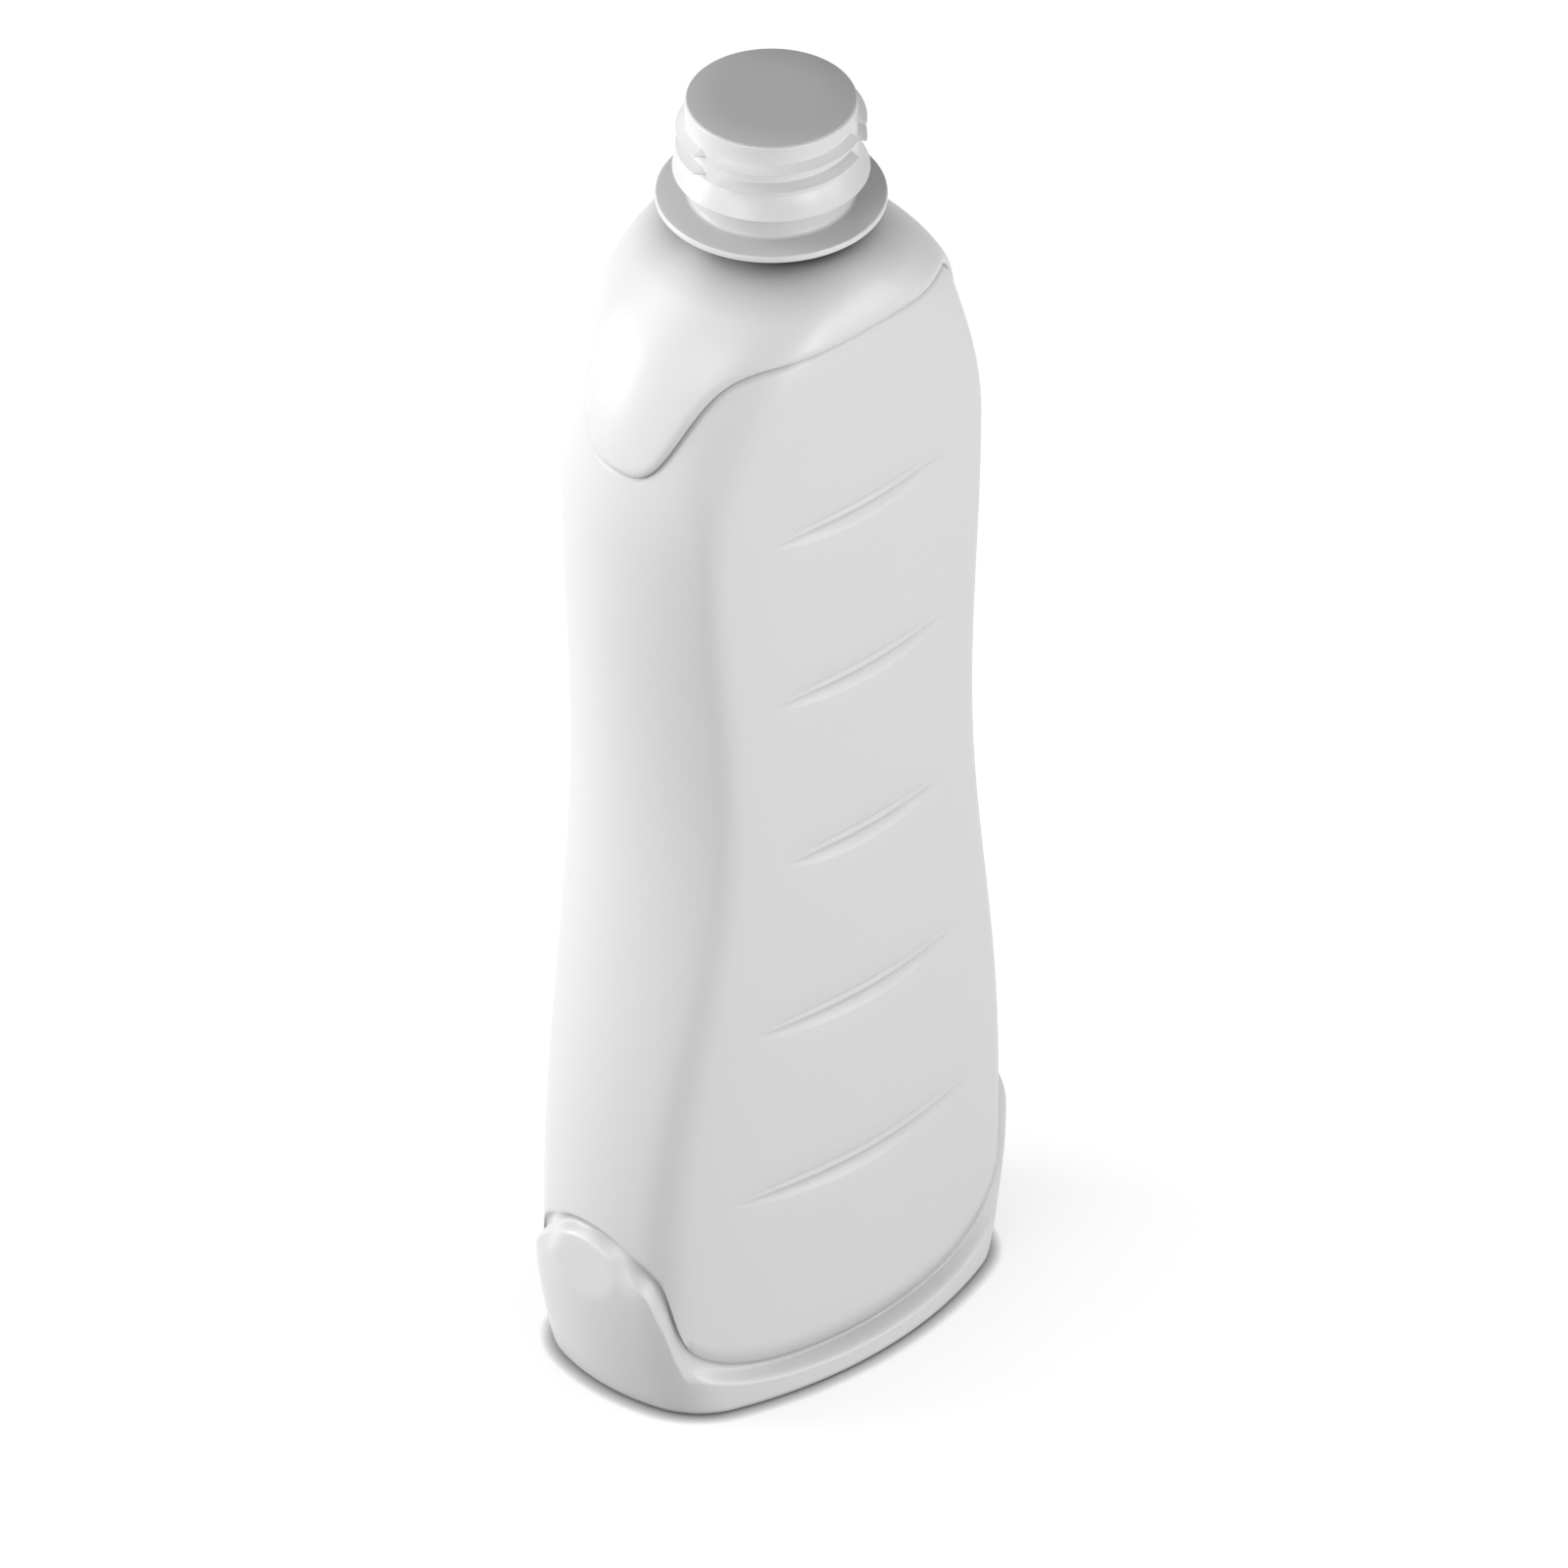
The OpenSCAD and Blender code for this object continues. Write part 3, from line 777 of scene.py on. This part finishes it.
# The thread runs in six stretches of a third of a turn, each raised by a third of the pitch
STRETCHES, STRETCHES_IN_TURN = 6, 3
STRETCH_START, STRETCH_SWEEP = radians(-291.2), radians(102.6)
# Angle over which a stretch's end runs down to the neck
STRETCH_FADE = radians(5.0)
# Height of the crest's lower edge on the lower turn, at an angle
CREST_HEIGHT, CREST_ANGLE = 0.27697, radians(-135)
# How far the thread's root lies inside the neck
ROOT_INSET = 0.0002
# Share of the flank's height by which the crest's upper edge stands over its lower edge, and
# by which the closing poles stand over the section's foot
CREST_SHARE, POLE_SHARE = 0.12, 0.4
# Places along a stretch. The section has four points: root above the flank, crest's upper
# edge, crest's lower edge and root below, and a fifth on the first one closes it.
STATIONS, SECTION_POINTS = 60, 5
MERGE_DISTANCE = 0.000001


def thread_inputs(tree, neck):
    """Adds the thread's sizes and its finish as inputs of the tree, and returns them."""
    sizes = (("Pitch", neck.thread_pitch), ("Crest Radius", neck.thread_radius),
             ("Root Radius", neck.lip_radius - ROOT_INSET), ("Flank Height", neck.thread_flank))
    for name, value in sizes:
        item = tree.interface.new_socket(name, in_out="INPUT", socket_type="NodeSocketFloat")
        item.subtype = "DISTANCE"
        item.default_value = value
    tree.interface.new_socket("Finish", in_out="INPUT", socket_type="NodeSocketMaterial")
    entry = tree.nodes.new("NodeGroupInput")
    return [Socket(tree, entry.outputs[i]) for i in range(len(sizes) + 1)]


def thread_stretch(tree, pitch, crest, root, flank):
    """One closed stretch of thread: a grid of stations and section points, swept on a helix."""
    grid = add_node(tree, "GeometryNodeMeshGrid", None,
                    {"Size X": 1.0, "Size Y": 1.0,
                     "Vertices X": STATIONS, "Vertices Y": SECTION_POINTS})
    spot = add_node(tree, "GeometryNodeInputPosition")
    station = (component(tree, spot, 0) + 0.5) * (STATIONS - 1.0)
    point = (component(tree, spot, 1) + 0.5) * (SECTION_POINTS - 1.0)

    # The first and last stations are poles inside the neck, which close the ends, and the
    # one before the last is where the section has run down to the root
    last = STATIONS - 1
    inner = (station - 1.0).most(0.0).least(last - 2.0)
    swept = (inner / (last - 3.0)).least(1.0)
    faded = inner.above(last - 2.5)
    pole = station.less(0.5) + station.above(last - 0.5)
    angle = STRETCH_START + swept * STRETCH_SWEEP + faded * STRETCH_FADE

    out = point.above(0.5) * point.less(2.5) * (1.0 - faded)
    raised = (point.less(0.5) + point.above(3.5)
              + point.above(0.5) * point.less(1.5) * CREST_SHARE)
    radius = mix(root, crest, out * (1.0 - pole))
    lift = mix(raised * flank, flank * POLE_SHARE, pole)
    height = CREST_HEIGHT + (angle - CREST_ANGLE) * pitch / (2 * pi) + lift
    place = combine(tree, radius * angle.cosine(), radius * angle.sine(), height)
    moved = add_node(tree, "GeometryNodeSetPosition", None, {"Geometry": grid, "Position": place})
    return add_node(tree, "GeometryNodeMergeByDistance", None,
                    {"Geometry": moved, "Distance": MERGE_DISTANCE})


def thread_tree(neck):
    """Geometry Nodes that sweep one stretch of thread and repeat it round the neck."""
    tree = bpy.data.node_groups.new("Screw Thread", "GeometryNodeTree")
    pitch, crest, root, flank, finish = thread_inputs(tree, neck)
    tree.interface.new_socket("Geometry", in_out="OUTPUT", socket_type="NodeSocketGeometry")
    stretch = thread_stretch(tree, pitch, crest, root, flank)
    line = add_node(tree, "GeometryNodeMeshLine", None,
                    {"Count": STRETCHES, "Offset": combine(tree, z=pitch / STRETCHES_IN_TURN)})
    index = add_node(tree, "GeometryNodeInputIndex")
    turn = combine(tree, z=index * (2 * pi / STRETCHES_IN_TURN))
    placed = add_node(tree, "GeometryNodeInstanceOnPoints", None,
                      {"Points": line, "Instance": stretch, "Rotation": turn})
    real = add_node(tree, "GeometryNodeRealizeInstances", None, {"Geometry": placed})
    done = add_node(tree, "GeometryNodeSetMaterial", None, {"Geometry": real, "Material": finish})
    feed(tree.nodes.new("NodeGroupOutput"), {0: done})
    return tree


def mesh_of_tree(name, tree, values):
    """Runs a Geometry Nodes tree on an empty object and keeps its result as a plain mesh."""
    carrier = link(name + "_carrier", bpy.data.meshes.new(name + "_carrier"))
    modifier = carrier.modifiers.new("Nodes", "NODES")
    modifier.node_group = tree
    for item in tree.interface.items_tree:
        if item.in_out == "INPUT" and item.name in values:
            modifier[item.identifier] = values[item.name]
    evaluated = carrier.evaluated_get(bpy.context.evaluated_depsgraph_get())
    mesh = bpy.data.meshes.new_from_object(evaluated)
    mesh.name = name
    bpy.data.objects.remove(carrier)
    return mesh


def face_outwards(mesh):
    """Turns the faces of a closed mesh outwards, where they all point inwards."""
    work = bmesh.new()
    work.from_mesh(mesh)
    if work.calc_volume(signed=True) < 0:
        bmesh.ops.reverse_faces(work, faces=work.faces)
    work.to_mesh(mesh)
    work.free()


# The studio

# Direction of each lamp as turn and rise in degrees, and its power in watts
LAMPS = {
    "left_low": (132, 11, 8.4),
    "left_high": (130, 38, 4.0),
    "left_front": (-172, 35, 3.4),
    "right_front": (-90, 14, 6.3),
    "right_side": (-60, 8, 3.5),
}
# Side of each lamp, its distance from the point that all of them face, and that point
LAMP_SIZE, LAMP_REACH = 0.5, 1.2
LAMP_AIM = Vector((0.0, 0.0, 0.11))
# Strength of the surround as a light; it shows at full strength
SURROUND = 0.16
# Half the floor's side, and its roughness
FLOOR_HALF, FLOOR_ROUGHNESS = 6.0, 0.9
# White that the floor adds to what the camera sees
FLOOR_LIFT = 0.87
# Share of that white that goes in the painted soft shade round the bottle, and that shade's reach
FLOOR_PAINTED_SHADE, FLOOR_PAINTED_SHADE_REACH = 0.32, 0.05
# Power and reach of the thin painted contact shadow, and the rays of both painted shades
PAINTED_CONTACT_POWER, PAINTED_CONTACT_REACH = 2.2, 0.0031
FLOOR_RAYS = 4
# The photograph is a parallel view from one corner: 5.2 pixels to the millimetre, with the
# bottle's axis on the ground at this pixel
PIXELS_PER_METRE = 5200
IMAGE_SIDE = 1600
AXIS_PIXEL = (787, 1318)
CAMERA_TURN, CAMERA_RISE = radians(-135), radians(35.264)
CAMERA_DISTANCE, CAMERA_CLIP = 2.0, 20.0


def direction(turn, rise):
    """Unit vector out from the bottle, for angles in radians."""
    return Vector((cos(rise) * cos(turn), cos(rise) * sin(turn), sin(rise)))


def place_facing(piece, spot, way):
    """Puts a lamp or camera at a spot, looking back along a direction, and links it."""
    piece.location = spot
    piece.rotation_euler = (-way).to_track_quat("-Z", "Y").to_euler()
    bpy.context.scene.collection.objects.link(piece)


def seen_ray(tree):
    """One for rays that show the surround to the camera, also through gloss or glass."""
    path = tree.nodes.new("ShaderNodeLightPath")
    camera, glossy, through = [Socket(tree, path.outputs[name]) for name in (
        "Is Camera Ray", "Is Glossy Ray", "Is Transmission Ray")]
    return camera.most(glossy).most(through)


def make_floor(finish):
    """A white floor that keeps the bottle's real shadow from the lamps, with a soft shade and a
    thin contact shadow painted into its white glow.
    """
    half = FLOOR_HALF
    mesh = bpy.data.meshes.new("floor")
    corners = [(-half, -half, 0), (half, -half, 0), (half, half, 0), (-half, half, 0)]
    mesh.from_pydata(corners, [], [(0, 1, 2, 3)])
    material, tree, shader = new_material("White Floor")
    # The white that the surround would add, held back where the bottle stands close: a painted
    # shade and contact shadow
    near = openness(tree, FLOOR_PAINTED_SHADE_REACH, FLOOR_RAYS)
    close = openness(tree, PAINTED_CONTACT_REACH, FLOOR_RAYS)
    lift = (near * FLOOR_PAINTED_SHADE + (1.0 - FLOOR_PAINTED_SHADE)) * close ** PAINTED_CONTACT_POWER * FLOOR_LIFT
    feed(shader, {
        "Base Color": rgba(finish.floor),
        "Roughness": FLOOR_ROUGHNESS,
        "Specular IOR Level": 0.0,
        "Emission Color": mix_colours(tree, seen_ray(tree) * lift, BLACK, WHITE),
        "Emission Strength": 1.0,
    })
    mesh.materials.append(material)
    link("floor", mesh)


def make_world(scene):
    """A plain pale surround that lights the bottle, and shows as white behind it."""
    world = bpy.data.worlds.new("Studio Surround")
    world.use_nodes = True
    tree = world.node_tree
    tree.nodes.clear()
    strength = mix(SURROUND, 1.0, seen_ray(tree))
    background = add_node(tree, "ShaderNodeBackground", None,
                          {"Color": WHITE, "Strength": strength})
    feed(tree.nodes.new("ShaderNodeOutputWorld"), {"Surface": background})
    scene.world = world


def make_lamp(name, turn, rise, power):
    """A square soft box that faces the bottle."""
    lamp = bpy.data.lights.new(name, "AREA")
    lamp.shape = "SQUARE"
    lamp.size = LAMP_SIZE
    lamp.energy = power
    way = direction(radians(turn), radians(rise))
    place_facing(bpy.data.objects.new(name, lamp), LAMP_AIM + way * LAMP_REACH, way)


def make_camera(scene):
    """The photograph's view, moved so that the bottle's axis meets its pixel."""
    camera = bpy.data.cameras.new("photo_camera")
    camera.type = "ORTHO"
    camera.ortho_scale = IMAGE_SIDE / PIXELS_PER_METRE
    camera.clip_end = CAMERA_CLIP
    out = direction(CAMERA_TURN, CAMERA_RISE)
    right = Vector((-sin(CAMERA_TURN), cos(CAMERA_TURN), 0.0))
    up = out.cross(right)
    sideways = (IMAGE_SIDE / 2 - AXIS_PIXEL[0]) / PIXELS_PER_METRE
    upwards = (AXIS_PIXEL[1] - IMAGE_SIDE / 2) / PIXELS_PER_METRE
    scene.camera = bpy.data.objects.new("photo_camera", camera)
    place_facing(scene.camera, out * CAMERA_DISTANCE + right * sideways + up * upwards, out)


# Operators


class BOTTLE_OT_body(bpy.types.Operator):
    """Build the blown bottle from its base to its lip"""

    bl_idname = "bottle.body"
    bl_label = "Blown Bottle"

    def execute(self, context):
        angle, rows = skin_rows(BlownShape(context.scene))
        mesh = skin_mesh("blown_bottle", angle, rows)
        add_weld(mesh)
        mesh.materials.append(plastic_material(context.scene.bottle_finish))
        piece = link("blown_bottle", mesh)
        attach(piece, "root")
        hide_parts("bottle")
        return {"FINISHED"}


class BOTTLE_OT_thread(bpy.types.Operator):
    """Build the interrupted screw thread round the neck"""

    bl_idname = "bottle.thread"
    bl_label = "Screw Thread"

    def execute(self, context):
        plastic = bpy.data.materials.get(PLASTIC)
        if plastic is None:
            raise RuntimeError("Build the blown bottle first: the thread takes its plastic.")
        neck = context.scene.bottle_neck
        mesh = mesh_of_tree("screw_thread", thread_tree(neck), {"Finish": plastic})
        if not mesh.polygons:
            raise RuntimeError("The thread's node tree gave no faces.")
        face_outwards(mesh)
        mesh.shade_smooth()
        mesh.set_sharp_from_angle(angle=THREAD_SHARP)
        piece = link("screw_thread", mesh)
        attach(piece, "root")
        return {"FINISHED"}


class BOTTLE_OT_seal(bpy.types.Operator):
    """Build the foil disc that closes the mouth"""

    bl_idname = "bottle.seal"
    bl_label = "Mouth Seal"

    def execute(self, context):
        low, high, outer = SEAL_LOW[2], SEAL_HIGH[2], SEAL_HIGH[0]
        soft = SEAL_SOFT * (high - low)
        corner = SEAL_CORNER * soft
        profile = [(outer - soft, low), (outer, low + soft), (outer, high - soft),
                   (outer - corner, high - corner), (outer - soft, high),
                   (outer * SEAL_INNER, high)]
        mesh = skin_mesh("foil_seal", column_angles(), level_rows(profile))
        mesh.materials.append(foil_material(context.scene.bottle_finish))
        piece = link("foil_seal", mesh)
        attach(piece, "root")
        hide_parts("mouth_seal")
        return {"FINISHED"}


class BOTTLE_OT_stage(bpy.types.Operator):
    """Build the white floor, the soft lamps and the camera"""

    bl_idname = "bottle.stage"
    bl_label = "Studio"

    def execute(self, context):
        scene = context.scene
        scene.view_settings.view_transform = "Standard"
        make_floor(scene.bottle_finish)
        make_world(scene)
        for name, (turn, rise, power) in LAMPS.items():
            make_lamp(name, turn, rise, power)
        make_camera(scene)
        return {"FINISHED"}


# Panel and registration


class BOTTLE_PT_panel(bpy.types.Panel):
    """Lists the bottle's settings and its pieces"""

    bl_idname = "BOTTLE_PT_panel"
    bl_label = "Rectangular Bottle"
    bl_space_type = "VIEW_3D"
    bl_region_type = "UI"
    bl_category = "Bottle"

    def draw(self, context):
        layout = self.layout
        scene = context.scene
        for label, group in (("Body", scene.bottle_body), ("Relief", scene.bottle_relief),
                             ("Neck", scene.bottle_neck), ("Finish", scene.bottle_finish)):
            box = layout.box()
            box.label(text=label)
            for name in group.__annotations__:
                box.prop(group, name)
        for operator in OPERATORS:
            layout.operator(operator.bl_idname)


GROUPS = {
    "bottle_body": BottleBodySettings,
    "bottle_relief": BottleReliefSettings,
    "bottle_neck": BottleNeckSettings,
    "bottle_finish": BottleFinishSettings,
}
OPERATORS = (BOTTLE_OT_body, BOTTLE_OT_thread, BOTTLE_OT_seal, BOTTLE_OT_stage)


def register():
    """Registers the settings, the operators and the panel."""
    for name, group in GROUPS.items():
        bpy.utils.register_class(group)
        setattr(bpy.types.Scene, name, bpy.props.PointerProperty(type=group))
    for operator in OPERATORS:
        bpy.utils.register_class(operator)
    bpy.utils.register_class(BOTTLE_PT_panel)


def unregister():
    """Takes them off again, in the opposite order."""
    bpy.utils.unregister_class(BOTTLE_PT_panel)
    for operator in reversed(OPERATORS):
        bpy.utils.unregister_class(operator)
    for name, group in GROUPS.items():
        delattr(bpy.types.Scene, name)
        bpy.utils.unregister_class(group)


def main():
    """Builds every piece in order."""
    register()
    bpy.ops.bottle.body()
    bpy.ops.bottle.thread()
    bpy.ops.bottle.seal()
    bpy.ops.bottle.stage()


if __name__ == "__main__":
    main()
